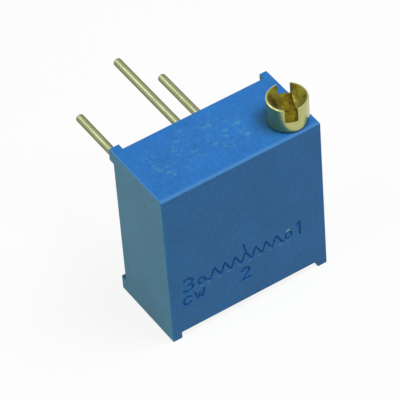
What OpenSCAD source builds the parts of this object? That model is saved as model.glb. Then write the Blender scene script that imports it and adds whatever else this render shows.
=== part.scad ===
// Square multi-turn trimmer potentiometer with its adjusting screw on the top and its pins out of the back.
// X runs along the marked front face, Y from the front face to the pins, Z up along the screw.
// The origin is where the axis of terminal 1 meets the board that the back standoffs sit on.

/* [Body] */
// Width of the body
body_w = 9.53; // [8.6:0.01:11.4]
// Thickness from the front face to the tips of the standoffs
body_t = 4.83; // [4.6:0.01:5.8]
// Height from the bottom rails to the top face
body_h = 10.03; // [9:0.01:12]
// Rounding of the moulded outer edges
edge_r = 0.06; // [0.04:0.01:0.15]
// Thickness of the front wall
wall_front = 0.7; // [0.5:0.01:0.85]
// Thickness of the left wall of the mechanism chamber
wall_left = 0.9; // [0.75:0.01:1.1]
// Thickness of the right wall beside the lead screw
wall_right = 0.36; // [0.34:0.01:0.42]
// Thickness of the chamber's floor
wall_floor = 0.88; // [0.75:0.01:1.05]
// Thickness of the chamber's roof
wall_roof = 1; // [0.9:0.01:1.1]
// Depth of the screw's bearing boss under the roof
boss_drop = 0.55; // [0.4:0.01:0.7]
// Width of the bearing boss to the left of the screw's axis
boss_reach = 1.15; // [0.95:0.01:1.2]

/* [Rails and standoffs] */
// Width of the two bottom rails
rail_w = 0.56; // [0.4:0.01:0.7]
// Height of the two bottom rails
rail_h = 0.42; // [0.3:0.01:0.5]
// Depth of the four standoffs on the back
standoff_t = 0.4; // [0.3:0.01:0.5]
// Width of the left standoffs
standoff_left_w = 0.62; // [0.5:0.01:0.75]
// Width of the right standoffs
standoff_right_w = 0.44; // [0.36:0.01:0.55]
// Height of the upper standoffs
standoff_top_h = 0.74; // [0.6:0.01:0.9]
// Height of the lower standoffs above the rails
standoff_low_h = 0.48; // [0.4:0.01:0.6]

/* [Adjusting screw] */
// Distance from the right face to the screw's axis
screw_side = 1.11; // [1.09:0.01:1.3]
// Distance of the screw's axis in front of the middle of the depth that it shares with the carriage
screw_bias = 0.0925; // [0:0.0025:0.15]
// Diameter of the head
head_d = 2.19; // [1.95:0.01:2.28]
// Height of the head above the top face
head_top = 1.52; // [1.26:0.01:1.8]
// Gap between the head and the top face
head_gap = 0.05; // [0.03:0.01:0.1]
// Width of the screwdriver slot
slot_w = 0.68; // [0.5:0.01:0.8]
// Depth of the screwdriver slot
slot_depth = 0.76; // [0.6:0.01:0.9]
// Direction of the slot at rest, from the X axis
slot_angle = 67; // [0:1:180]
// Diameter of the dish in the head
dish_d = 2; // [1.7:0.01:2.02]
// Diameter of the dish at the foot of its steep wall
dish_floor_d = 1.35; // [1:0.01:1.6]
// Depth of the dish's steep wall
dish_wall = 0.42; // [0.3:0.01:0.55]
// Depth of the dish at its middle
dish_depth = 0.8; // [0.65:0.01:0.95]
// Diameter of the neck inside the seal ring
neck_d = 0.86; // [0.74:0.01:0.94]
// Diameter of the journal that turns in the boss
journal_d = 1.34; // [1.16:0.01:1.44]
// Outside diameter of the thread
thread_d = 1.5; // [1.42:0.01:1.56]
// Diameter of the pilot at the lower end
pilot_d = 0.8; // [0.66:0.01:0.96]
// Length of the pilot below the chamber's floor
pilot_l = 0.4; // [0.32:0.01:0.5]
// Bevel on the screw's turned edges
edge_break = 0.05; // [0.03:0.01:0.06]
// Turns of the screw over the whole travel
turns = 25; // [20:1:30]

/* [Seal and retainer] */
// Diameter of the gland that holds the seal ring
gland_d = 1.72; // [1.6:0.01:1.78]
// Depth of the gland below the top face
gland_depth = 0.55; // [0.5:0.01:0.65]
// Thickness of the screw's retainer
retainer_t = 0.22; // [0.18:0.01:0.27]
// Width of each arm of the retainer
retainer_arm = 0.36; // [0.3:0.01:0.4]

/* [Carriage and wiper] */
// Length of the carriage along the screw
carriage_l = 1.3; // [1.25:0.01:1.55]
// Thickness of the carriage's bridge
bridge_t = 1; // [0.83:0.01:1.15]
// Width of each foot that slides on the front wall
foot_w = 0.5; // [0.4:0.01:0.6]
// Space between the carriage and the element plate
wiper_room = 0.52; // [0.48:0.01:0.6]
// Thickness of the wiper spring's sheet
wiper_t = 0.08; // [0.06:0.01:0.1]
// Height of the spring's flat plate
wiper_plate_h = 0.42; // [0.38:0.01:0.46]
// Fingers on each track
fingers = 3; // [2:1:4]
// Width of one finger
finger_w = 0.15; // [0.12:0.01:0.17]
// Gap between fingers
finger_gap = 0.08; // [0.05:0.01:0.1]
// Outside radius of the curl at a finger's end
curl_r = 0.16; // [0.14:0.01:0.18]
// Diameter of the posts that hold the spring
post_d = 0.3; // [0.22:0.01:0.34]

/* [Element] */
// Thickness of the ceramic plate
plate_t = 0.635; // [0.53:0.005:0.76]
// Thickness of the printed films
film_t = 0.04; // [0.03:0.005:0.05]
// Width of the two tracks
track_w = 0.7; // [0.58:0.01:0.78]
// Width of the printed leads
lead_w = 0.4; // [0.32:0.01:0.46]
// Diameter of the printed pads
pad_d = 1.2; // [1.1:0.01:1.26]
// Length of the resistive film past the wiper's travel at each end
track_past = 0.25; // [0.2:0.01:0.3]
// Height of the collector's lower end above the resistive film's
collector_inset = 0.2; // [0.1:0.01:0.3]
// Overlap of the resistive film on its end pads
film_lap = 0.2; // [0.15:0.01:0.25]

/* [Terminals] */
// Diameter of the pins
pin_d = 0.46; // [0.42:0.01:0.55]
// Distance between neighbouring pins along X
pin_pitch = 2.54; // [2.3:0.01:2.6]
// Height of the middle pin above the outer two
pin_stagger = 2.54; // [2.1:0.01:3]
// Length of the pins past the standoffs
pin_out = 6.6; // [3:0.1:9]
// Distance of terminal 2 from the middle of the body, to the left
pin_shift = 0.185; // [0:0.005:0.25]
// Distance from the top face to the axis of terminal 2
pin_top = 1.52; // [1.5:0.01:1.8]
// Diameter of the pins' heads and shoulders
collar_d = 0.82; // [0.7:0.01:0.88]
// Thickness of the pins' heads
pin_head_t = 0.16; // [0.13:0.01:0.18]
// Height of the pins' shoulders out of the potting
shoulder_out = 0.12; // [0.11:0.01:0.2]
// Bevel on the pins' ends and heads
pin_bevel = 0.07; // [0.04:0.01:0.08]
// Size of the solder fillets
solder_f = 0.14; // [0.11:0.01:0.17]

/* [Potting] */
// Thickness of the potting behind the element plate
pot_t = 0.55; // [0.45:0.01:0.66]
// Depth of the potting's surface below the back face
pot_recess = 0.06; // [0.03:0.01:0.1]
// Corner radius of the pocket for the element plate
pocket_r = 0.25; // [0.15:0.01:0.35]
// Width of the ledge that the element plate sits on
ledge = 0.24; // [0.15:0.01:0.3]

/* [Fits] */
// Running clearance of the screw in its bores, on the radius
run_gap = 0.03; // [0.02:0.005:0.05]
// Sliding clearance of the carriage
slide_gap = 0.03; // [0.02:0.005:0.05]
// Seating clearance of the element plate, seal ring and retainer
seat_gap = 0.02; // [0.015:0.005:0.03]
// Clearance left at each end of the carriage's travel
end_gap = 0.08; // [0.05:0.01:0.12]
// Running clearance of the wiper's fingers over the tracks
touch_gap = 0.01; // [0.01:0.005:0.02]

/* [Hidden] */
$fn = 64;
past = 1; // how far a cutting shape runs past the face that it opens

// Terminals 1, 2 and 3, as [x, z]
pin_at = [[0, 0], [-pin_pitch, pin_stagger], [-2 * pin_pitch, 0]];

// Levels across the thickness
y_seat = 0;
y_front = y_seat - body_t;
y_back = y_seat - standoff_t;
y_chamber = y_front + wall_front;
y_pot = y_back - pot_recess;
y_shoulder = y_pot + shoulder_out;
y_plate_back = y_pot - pot_t;
y_plate = y_plate_back - plate_t;
y_film = y_plate - film_t;
bridge_y1 = y_plate - wiper_room;
bridge_y0 = bridge_y1 - bridge_t;

// Levels up the height
z_top = pin_top + pin_stagger;
z_base = z_top - body_h;
z_rail = z_base + rail_h;
z_floor = z_rail + wall_floor;
z_roof = z_top - wall_roof;
z_boss = z_roof - boss_drop;
z_retainer = z_boss - retainer_t;
z_gland = z_top - gland_depth;
z_head = z_top + head_gap;
z_head_top = z_top + head_top;
z_thread = z_floor + 2 * run_gap;

// Limits across the width
x_middle = pin_at[1][0] + pin_shift;
x_side_right = x_middle + body_w / 2;
x_side_left = x_middle - body_w / 2;
x_left = x_side_left + wall_left;
x_right = x_side_right - wall_right;

// Adjusting screw
screw_x = x_side_right - screw_side;
screw_y = (y_front + bridge_y1) / 2 - screw_bias;
x_boss = screw_x - boss_reach;
channel_r = thread_d / 2 + 2 * run_gap;
retainer_r = neck_d / 2 + seat_gap;

// Pocket for the element plate, wider than the chamber on every side so that its core can be drawn
pocket_x0 = x_left - ledge;
pocket_x1 = max(x_right, screw_x + channel_r) + seat_gap;
pocket_z0 = max(z_floor - ledge, z_rail + standoff_low_h + seat_gap);
pocket_z1 = min(z_roof + ledge, z_top - standoff_top_h - seat_gap);

// Tracks, each half way between two columns of pins
resistor_x = (pin_at[1][0] + pin_at[2][0]) / 2;
collector_x = (pin_at[0][0] + pin_at[1][0]) / 2;

// Carriage, half way along its travel
travel = z_retainer - z_floor - carriage_l - 2 * end_gap;
thread_pitch = travel / turns;
carriage_z = z_floor + end_gap + carriage_l / 2 + travel / 2;
fingers_w = fingers * finger_w + (fingers - 1) * finger_gap;
spring_x0 = resistor_x - fingers_w / 2 - finger_gap;
spring_x1 = collector_x + fingers_w / 2 + finger_gap;
bridge_x0 = spring_x0 - finger_gap;
bridge_x1 = screw_x - thread_d / 2 - slide_gap;
saddle_x1 = screw_x + thread_d / 3;

// Wiper spring, in heights from the middle of the carriage
spring_z0 = -carriage_l / 2 + end_gap / 2;
spring_z1 = spring_z0 + wiper_plate_h;
contact_z = carriage_l / 2 - curl_r - end_gap;
post_x = (spring_x1 - spring_x0) / 6;
post_z = (spring_z0 + spring_z1) / 2;

// Printed films
resistor_z0 = carriage_z - travel / 2 + contact_z - track_past;
resistor_z1 = carriage_z + travel / 2 + contact_z + track_past;
collector_z0 = resistor_z0 + collector_inset;

// A rectangle between two corners with round corners
module round_rect(x0, y0, x1, y1, r) {
    translate([x0 + r, y0]) square([x1 - x0 - 2 * r, y1 - y0]);
    translate([x0, y0 + r]) square([x1 - x0, y1 - y0 - 2 * r]);
    for (x = [x0 + r, x1 - r], y = [y0 + r, y1 - r]) translate([x, y]) circle(r);
}

// A rectangle between two corners
module rect(x0, y0, x1, y1) {
    translate([x0, y0]) square([x1 - x0, y1 - y0]);
}

// A box between two corners
module block(a, b) {
    translate(a) cube(b - a);
}

// An XZ outline made solid from y0 to y1
module slab_y(y0, y1) {
    translate([0, y1, 0]) rotate([90, 0, 0]) linear_extrude(y1 - y0) children();
}

// A YZ outline made solid from x0 to x1
module slab_x(x0, x1) {
    translate([x0, 0, 0]) rotate([90, 0, 90]) linear_extrude(x1 - x0) children();
}

// A round piece on an axis along Y, from an outline of [radius, y]
module turned_y(at) {
    translate([at[0], 0, at[1]]) rotate([-90, 0, 0]) rotate_extrude() children();
}

// The outer envelope, with every edge rounded
module envelope() {
    intersection() {
        translate([0, 0, z_base]) linear_extrude(body_h)
            round_rect(x_side_left, y_front, x_side_right, y_seat, edge_r);
        slab_y(y_front, y_seat) round_rect(x_side_left, z_base, x_side_right, z_top, edge_r);
        slab_x(x_side_left, x_side_right) round_rect(y_front, z_base, y_seat, z_top, edge_r);
    }
}

// What the mould leaves free between the rails and between the standoffs
module relief() {
    block([x_side_left + rail_w, y_front - past, z_base - past],
          [x_side_right - rail_w, y_seat + past, z_rail]);
    slab_y(y_back, y_seat + past) difference() {
        rect(x_side_left - past, z_base - past, x_side_right + past, z_top + past);
        for (z = [[z_base, z_rail + standoff_low_h], [z_top - standoff_top_h, z_top]]) {
            rect(x_side_left, z[0], x_side_left + standoff_left_w, z[1]);
            rect(x_side_right - standoff_right_w, z[0], x_side_right, z[1]);
        }
    }
}

// The chamber for the mechanism, and the pocket for the element plate and the potting
module chambers() {
    slab_y(y_chamber, y_plate + seat_gap) {
        rect(x_left, z_floor, x_boss, z_roof);
        rect(x_left, z_floor, x_right, z_boss);
    }
    translate([screw_x, screw_y, z_floor]) cylinder(r = channel_r, h = z_boss - z_floor);
    slab_y(y_plate, y_back + past) round_rect(pocket_x0, pocket_z0, pocket_x1, pocket_z1, pocket_r);
}

// The gland, the journal's bore and the pilot's bore, all on the screw's axis
module screw_bores() {
    translate([screw_x, screw_y, 0]) {
        translate([0, 0, z_gland]) cylinder(d = gland_d, h = gland_depth + past);
        translate([0, 0, z_boss - run_gap])
            cylinder(r = journal_d / 2 + run_gap, h = z_gland - z_boss + 2 * run_gap);
        translate([0, 0, z_floor - pilot_l - run_gap])
            cylinder(r = pilot_d / 2 + run_gap, h = pilot_l + 2 * run_gap);
    }
}

module housing() {
    color("steelblue") difference() {
        envelope();
        relief();
        chambers();
        screw_bores();
    }
}

module potting_seal() {
    color("royalblue") difference() {
        slab_y(y_plate_back, y_pot) round_rect(pocket_x0, pocket_z0, pocket_x1, pocket_z1, pocket_r);
        for (at = pin_at) turned_y(at) pin_outline();
    }
}

// The screw's outline as [radius, z], from the pilot up to the middle of the dish
module screw_outline() {
    bevel = edge_break;
    z_pilot = z_floor - pilot_l;
    polygon([[0, z_pilot], [pilot_d / 2 - bevel, z_pilot], [pilot_d / 2, z_pilot + bevel],
             [pilot_d / 2, z_thread], [thread_d / 2 - bevel, z_thread], [thread_d / 2, z_thread + bevel],
             [thread_d / 2, z_retainer - seat_gap - bevel], [thread_d / 2 - bevel, z_retainer - seat_gap],
             [neck_d / 2, z_retainer - seat_gap], [neck_d / 2, z_boss + seat_gap],
             [journal_d / 2, z_boss + seat_gap], [journal_d / 2, z_gland - seat_gap],
             [neck_d / 2, z_gland - seat_gap], [neck_d / 2, z_head],
             [head_d / 2 - bevel, z_head], [head_d / 2, z_head + bevel],
             [head_d / 2, z_head_top - bevel / 2], [head_d / 2 - bevel / 2, z_head_top],
             [dish_d / 2, z_head_top], [dish_floor_d / 2, z_head_top - dish_wall],
             [0, z_head_top - dish_depth]]);
}

module lead_screw() {
    color("gold") translate([screw_x, screw_y, 0]) difference() {
        rotate_extrude() screw_outline();
        rotate([0, 0, slot_angle])
            block([-head_d, -slot_w / 2, z_head_top - slot_depth], [head_d, slot_w / 2, z_head_top + past]);
    }
}

module seal_ring() {
    wire_r = (gland_d - neck_d) / 4 - seat_gap / 2;
    color("firebrick") translate([screw_x, screw_y, z_gland + wire_r])
        rotate_extrude() translate([(gland_d + neck_d) / 4, 0]) circle(wire_r);
}

// A horseshoe plate pushed onto the screw's groove from the back, under the boss
module screw_retainer() {
    reach = retainer_r + retainer_arm;
    color("silver") translate([screw_x, screw_y, z_retainer]) linear_extrude(retainer_t) difference() {
        intersection() {
            circle(reach);
            rect(-reach, y_chamber + slide_gap - screw_y, x_right - slide_gap - screw_x, reach);
        }
        circle(retainer_r);
        rect(-retainer_r, -reach, retainer_r, 0);
    }
}

// The bridge across the chamber, its two feet on the front wall and the saddle on the thread
module carriage() {
    foot_y = y_chamber + slide_gap;
    color("ivory") {
        translate([0, 0, carriage_z - carriage_l / 2]) linear_extrude(carriage_l) difference() {
            union() {
                rect(bridge_x0, bridge_y0, saddle_x1, bridge_y1);
                rect(bridge_x0, foot_y, bridge_x0 + foot_w, bridge_y1);
                rect(bridge_x1 - foot_w, foot_y, bridge_x1, bridge_y1);
                rect(bridge_x1 - foot_w, screw_y, saddle_x1, bridge_y1);
            }
            translate([screw_x, screw_y]) circle(thread_d / 2 + slide_gap);
        }
        for (side = [-1, 1]) turned_y([(spring_x0 + spring_x1) / 2 + side * post_x, carriage_z + post_z]) {
            rect(0, bridge_y1 - wiper_t, post_d / 2, bridge_y1 + 2 * wiper_t);
            rect(0, bridge_y1 + wiper_t, post_d / 2 + wiper_t, bridge_y1 + 2 * wiper_t);
        }
    }
}

// One finger as [y, z] from the plate's upper edge, rising to the track and curling back
module finger_outline() {
    curl_y = y_film - touch_gap - curl_r;
    mid_r = curl_r - wiper_t / 2;
    start = [bridge_y1 + wiper_t / 2, spring_z1];
    reach = [curl_y, contact_z] - start;
    lean = atan2(reach[0], reach[1]) + asin(mid_r / norm(reach));
    translate(start) rotate(-lean) translate([-wiper_t / 2, 0])
        square([wiper_t, sqrt(norm(reach) ^ 2 - mid_r ^ 2)]);
    translate(start) circle(d = wiper_t);
    translate([curl_y, contact_z]) difference() {
        circle(curl_r);
        circle(curl_r - wiper_t);
        rotate(-lean) rect(-2 * curl_r, -2 * curl_r, 2 * curl_r, 0);
    }
}

module wiper_spring() {
    color("darkorange") translate([0, 0, carriage_z]) {
        difference() {
            slab_y(bridge_y1, bridge_y1 + wiper_t) rect(spring_x0, spring_z0, spring_x1, spring_z1);
            for (side = [-1, 1]) turned_y([(spring_x0 + spring_x1) / 2 + side * post_x, post_z])
                rect(0, bridge_y1 - past, post_d / 2, bridge_y1 + past);
        }
        for (x = [resistor_x, collector_x], i = [0:fingers - 1]) {
            finger_x = x - fingers_w / 2 + i * (finger_w + finger_gap);
            slab_x(finger_x, finger_x + finger_w) finger_outline();
        }
    }
}

// A film or plate in the XZ plane with a hole for each pin
module pierced(y0, y1) {
    slab_y(y0, y1) difference() {
        children();
        for (at = pin_at) translate(at) circle(pin_d / 2 + seat_gap);
    }
}

module element_plate() {
    color("white") pierced(y_plate, y_plate_back)
        round_rect(pocket_x0 + seat_gap, pocket_z0 + seat_gap, pocket_x1 - seat_gap, pocket_z1 - seat_gap,
                   pocket_r);
}

module resistance_track() {
    x0 = resistor_x - track_w / 2;
    x1 = resistor_x + track_w / 2;
    color("dimgray") {
        slab_y(y_film, y_plate) rect(x0, resistor_z0, x1, resistor_z1);
        slab_y(y_film - film_t, y_film) {
            rect(x0, resistor_z0 - film_lap, x1, resistor_z0 + film_t);
            rect(x0, resistor_z1 - film_t, x1, resistor_z1 + film_lap);
        }
    }
}

module collector_track() {
    color("lightgray") pierced(y_film, y_plate) {
        rect(collector_x - track_w / 2, collector_z0, collector_x + track_w / 2, pin_at[1][1] + lead_w / 2);
        rect(pin_at[1][0], pin_at[1][1] - lead_w / 2, collector_x, pin_at[1][1] + lead_w / 2);
        translate(pin_at[1]) circle(d = pad_d);
    }
}

// The lead from an outer terminal to one end of the resistive track
module end_pad(at, edge_z, side) {
    far_z = edge_z + side * lead_w;
    color("lightgray") pierced(y_film, y_plate) {
        translate(at) circle(d = pad_d);
        rect(at[0] - lead_w / 2, min(at[1], far_z), at[0] + lead_w / 2, max(at[1], far_z));
        rect(min(at[0] - lead_w / 2, resistor_x - track_w / 2), min(edge_z, far_z),
             max(at[0] + lead_w / 2, resistor_x + track_w / 2), max(edge_z, far_z));
    }
}

module end_pad_1() {
    end_pad(pin_at[0], resistor_z0, -1);
}

module end_pad_3() {
    end_pad(pin_at[2], resistor_z1, 1);
}

// A pin as [radius, y]: its head on the films, its shank, its shoulder behind the plate and its long tail
module pin_outline() {
    collar_r = collar_d / 2;
    r = pin_d / 2;
    head = y_film - pin_head_t;
    tip = y_seat + pin_out;
    polygon([[0, head], [collar_r - pin_bevel, head], [collar_r, head + pin_bevel], [collar_r, y_film],
             [r, y_film], [r, y_plate_back], [collar_r, y_plate_back], [collar_r, y_shoulder],
             [r, y_shoulder], [r, tip - pin_bevel], [r - pin_bevel, tip], [0, tip]]);
}

module terminal(at) {
    color("khaki") turned_y(at) pin_outline();
}

// A ring of solder between a pin's head and its pad
module solder_joint(at) {
    color("gainsboro") turned_y(at) translate([collar_d / 2, y_film]) difference() {
        rect(0, -solder_f, solder_f, 0);
        translate([solder_f + touch_gap, -solder_f - touch_gap]) circle(solder_f);
    }
}

housing();
potting_seal();
lead_screw();
seal_ring();
screw_retainer();
carriage();
wiper_spring();
element_plate();
resistance_track();
collector_track();
end_pad_1();
end_pad_3();
terminal(pin_at[0]);  // terminal_1
terminal(pin_at[1]);  // terminal_2
terminal(pin_at[2]);  // terminal_3
solder_joint(pin_at[0]);  // solder_joint_1
solder_joint(pin_at[1]);  // solder_joint_2
solder_joint(pin_at[2]);  // solder_joint_3
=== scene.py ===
"""A multi-turn trimmer potentiometer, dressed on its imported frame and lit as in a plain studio.

Sizes in the classes are in millimetres, in the row frame: X to the right along the marked face, Y out
along the pins, Z up along the screw, from where the axis of terminal 1 meets the board.
"""

import logging
import math
from dataclasses import dataclass, field
from enum import Enum, IntEnum
from typing import Any, Iterable, Sequence

import bmesh
import bpy
from mathutils import Matrix, Vector


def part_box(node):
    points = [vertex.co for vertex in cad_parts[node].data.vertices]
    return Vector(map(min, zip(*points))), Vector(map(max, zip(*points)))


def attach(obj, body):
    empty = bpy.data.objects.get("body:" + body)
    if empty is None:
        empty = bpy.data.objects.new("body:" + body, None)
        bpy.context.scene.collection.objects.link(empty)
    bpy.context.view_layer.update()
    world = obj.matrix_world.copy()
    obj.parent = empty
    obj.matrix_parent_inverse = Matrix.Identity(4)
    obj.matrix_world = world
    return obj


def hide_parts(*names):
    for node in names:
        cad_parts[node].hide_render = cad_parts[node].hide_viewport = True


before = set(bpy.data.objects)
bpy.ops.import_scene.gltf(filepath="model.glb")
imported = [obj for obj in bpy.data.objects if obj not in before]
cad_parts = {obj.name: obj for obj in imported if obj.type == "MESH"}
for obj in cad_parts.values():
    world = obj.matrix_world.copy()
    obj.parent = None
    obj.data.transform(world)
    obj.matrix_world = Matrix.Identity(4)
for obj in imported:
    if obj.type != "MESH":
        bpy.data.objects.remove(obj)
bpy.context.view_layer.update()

log = logging.getLogger("trimmer")

# A millimetre in metres. What follows is in millimetres and degrees.
MM = 0.001
# Vertices nearer to one another than this are merged.
WELD = 0.0004
# Faces that bend less than this are one flat face.
FLAT = 0.3

Pair = tuple[float, float]
Triple = tuple[float, float, float]
Colour = Triple
Outline = Sequence[Pair]
Stroke = Sequence[Pair]


# Shader arithmetic


class Signal:
    """A value that travels between nodes, with the arithmetic of Python."""

    def __init__(self, tree: "ShaderTree", socket: bpy.types.NodeSocket) -> None:
        """Keeps the tree and the socket that the value comes from."""
        self.tree = tree
        self.socket = socket

    def __add__(self, other: "Value") -> "Signal":
        """The sum of two values."""
        return self.tree.math("ADD", self, other)

    def __sub__(self, other: "Value") -> "Signal":
        """The difference of two values."""
        return self.tree.math("SUBTRACT", self, other)

    def __rsub__(self, other: "Value") -> "Signal":
        """The difference of two values, the other way round."""
        return self.tree.math("SUBTRACT", other, self)

    def __mul__(self, other: "Value") -> "Signal":
        """The product of two values."""
        return self.tree.math("MULTIPLY", self, other)

    def __truediv__(self, other: "Value") -> "Signal":
        """The ratio of two values."""
        return self.tree.math("DIVIDE", self, other)

    def __pow__(self, other: "Value") -> "Signal":
        """A value to a power."""
        return self.tree.math("POWER", self, other)

    __radd__ = __add__
    __rmul__ = __mul__

    def sine(self) -> "Signal":
        """The sine of a value in radians."""
        return self.tree.math("SINE", self, 0.0)

    def rise(self, low: float, high: float) -> "Signal":
        """A smooth step.

        Args:
            low: Where the step starts, at 0.
            high: Where the step ends, at 1. It may be below low, and the step then falls.

        Returns:
            The value of the step.
        """
        return self.tree.node(
            "ShaderNodeMapRange",
            {"interpolation_type": "SMOOTHSTEP"},
            {"Value": self, "From Min": low, "From Max": high},
        )


Value = Signal | float


class ShaderTree:
    """The nodes of one material or of the world."""

    def __init__(self, owner: bpy.types.Material | bpy.types.World, output: str) -> None:
        """Empties the owner's tree and gives it an output.

        Args:
            owner: The material or world.
            output: The type of its output node.
        """
        owner.use_nodes = True
        self.tree = owner.node_tree
        self.tree.nodes.clear()
        self.output = self.tree.nodes.new(output)

    def node(
        self,
        kind: str,
        settings: dict[str, Any] | None = None,
        sockets: dict[str | int, Any] | None = None,
        output: str | int = 0,
    ) -> Signal:
        """Adds a node.

        Args:
            kind: The node's type.
            settings: Its settings, which are set first.
            sockets: Values or signals for its inputs.
            output: The output that is wanted.

        Returns:
            The signal of that output.
        """
        node = self.tree.nodes.new(kind)
        for key, value in (settings or {}).items():
            setattr(node, key, value)
        for key, value in (sockets or {}).items():
            socket = node.inputs[key]
            if isinstance(value, Signal):
                self.tree.links.new(value.socket, socket)
            elif socket.type == "RGBA":
                socket.default_value = (*value, 1.0)
            else:
                socket.default_value = value
        return Signal(self, node.outputs[output])

    def math(self, operation: str, left: Value, right: Value) -> Signal:
        """Adds a Math node.

        Args:
            operation: What it does.
            left: Its first value.
            right: Its second value.

        Returns:
            The result.
        """
        return self.node("ShaderNodeMath", {"operation": operation}, {0: left, 1: right})

    def place(self, centre: Triple = (0, 0, 0), stretch: Triple = (1, 1, 1)) -> Signal:
        """The place on the piece in millimetres from a centre, stretched along the axes.

        Args:
            centre: The point that becomes zero.
            stretch: How much finer the pattern is along each axis.

        Returns:
            The coordinates.
        """
        here = self.node("ShaderNodeTexCoord", output="Object")
        scale = tuple(s / MM for s in stretch)
        shift = tuple(-c * s for c, s in zip(centre, stretch))
        return self.node("ShaderNodeMapping", {}, {"Vector": here, "Location": shift, "Scale": scale})

    def split(self, vector: Signal) -> tuple[Signal, Signal, Signal]:
        """The three parts of a vector."""
        parts = self.node("ShaderNodeSeparateXYZ", {}, {0: vector}).socket.node.outputs
        return Signal(self, parts[0]), Signal(self, parts[1]), Signal(self, parts[2])

    def noise(self, where: Signal, size: float, detail: float = 2.0, roughness: float = 0.5) -> Signal:
        """Soft noise from 0 to 1.

        Args:
            where: The coordinates, in millimetres.
            size: The width of its largest forms.
            detail: How many finer layers lie on them.
            roughness: How strong those layers are.

        Returns:
            The noise.
        """
        sockets = {"Vector": where, "Scale": 1 / size, "Detail": detail, "Roughness": roughness}
        return self.node("ShaderNodeTexNoise", {}, sockets)

    def blend(self, share: Value, first: Any, second: Any) -> Signal:
        """Mixes two colours.

        Args:
            share: How much of the second is in the mix.
            first: A colour, or its signal.
            second: Another.

        Returns:
            The mixed colour.
        """
        sockets = {0: share, 6: first, 7: second}
        return self.node("ShaderNodeMix", {"data_type": "RGBA"}, sockets, output=2)

    def relief(self, height: Signal, depth: float) -> Signal:
        """A normal from a height.

        Args:
            height: The height, about 0 to 1.
            depth: What 1 stands for, in millimetres.

        Returns:
            The bent normal.
        """
        return self.node("ShaderNodeBump", {}, {"Height": height, "Distance": depth * MM})

    def surface(self, shader: Signal) -> None:
        """Ends the tree in a shader."""
        self.tree.links.new(shader.socket, self.output.inputs["Surface"])


def tinted(colour: Colour, factor: float) -> Colour:
    """A colour made lighter or darker."""
    return tuple(c * factor for c in colour)


# Finishes


class Marks(Enum):
    """How a metal was worked."""

    TURNED = "turned"
    DRAWN = "drawn"
    ROLLED = "rolled"
    MOLTEN = "molten"


@dataclass(frozen=True)
class Finish:
    """What all finishes share.

    Attributes:
        name: The material's name.
        slot: The record's material slot.
        colour: The main colour, linear.
        roughness: The mean roughness.
    """

    name: str
    slot: str
    colour: Colour
    roughness: float

    def tree(self) -> ShaderTree:
        """An empty tree in a new material."""
        return ShaderTree(bpy.data.materials.new(self.name), "ShaderNodeOutputMaterial")

    def material(self) -> bpy.types.Material:
        """The finish as a material."""
        raise NotImplementedError


@dataclass(frozen=True)
class Moulded(Finish):
    """Plastic, rubber, resin or a fired piece, with cloudy colour and a fine skin.

    Attributes:
        cloud: The share by which the colour varies over a few millimetres.
        mottle: The share by which it varies over a few grains.
        grain: The width of the skin's grain.
        depth: The height of that grain.
        swing: How much the grain changes the roughness.
        gloss: The specular level.
        cloud_size: The width of the clouds.
        fleck: How many grains wide the mottling is.
        swell: How many grains wide the slow waves in the skin are.
        swell_share: How high they are, against the grain.
    """

    cloud: float = 0.06
    mottle: float = 0.03
    grain: float = 0.09
    depth: float = 0.002
    swing: float = 0.12
    gloss: float = 0.5
    cloud_size: float = 2.2
    fleck: float = 2.0
    swell: float = 14.0
    swell_share: float = 0.8

    def colours(self, tree: ShaderTree) -> Signal:
        """The colour over the surface.

        Args:
            tree: The material's tree.

        Returns:
            The colour.
        """
        clouds = tree.noise(tree.place(), self.cloud_size, 4.0, 0.6).rise(0.3, 0.7)
        flecks = tree.noise(tree.place(), self.grain * self.fleck, 2.0, 0.7).rise(0.35, 0.65)
        spread = self.cloud + self.mottle
        share = (clouds * self.cloud + flecks * self.mottle) / spread
        return tree.blend(share, tinted(self.colour, 1 - spread), tinted(self.colour, 1 + spread))

    def material(self) -> bpy.types.Material:
        """The finish as a material.

        Returns:
            The material.
        """
        tree = self.tree()
        skin = tree.noise(tree.place(), self.grain, 3.0, 0.6)
        waves = tree.noise(tree.place(), self.grain * self.swell, 2.0)
        sockets = {
            "Base Color": self.colours(tree),
            "Roughness": self.roughness + (skin - 0.5) * self.swing,
            "Specular IOR Level": self.gloss,
            "Normal": tree.relief(skin + waves * self.swell_share, self.depth),
        }
        tree.surface(tree.node("ShaderNodeBsdfPrincipled", {}, sockets))
        return bpy.data.materials[self.name]


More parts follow.
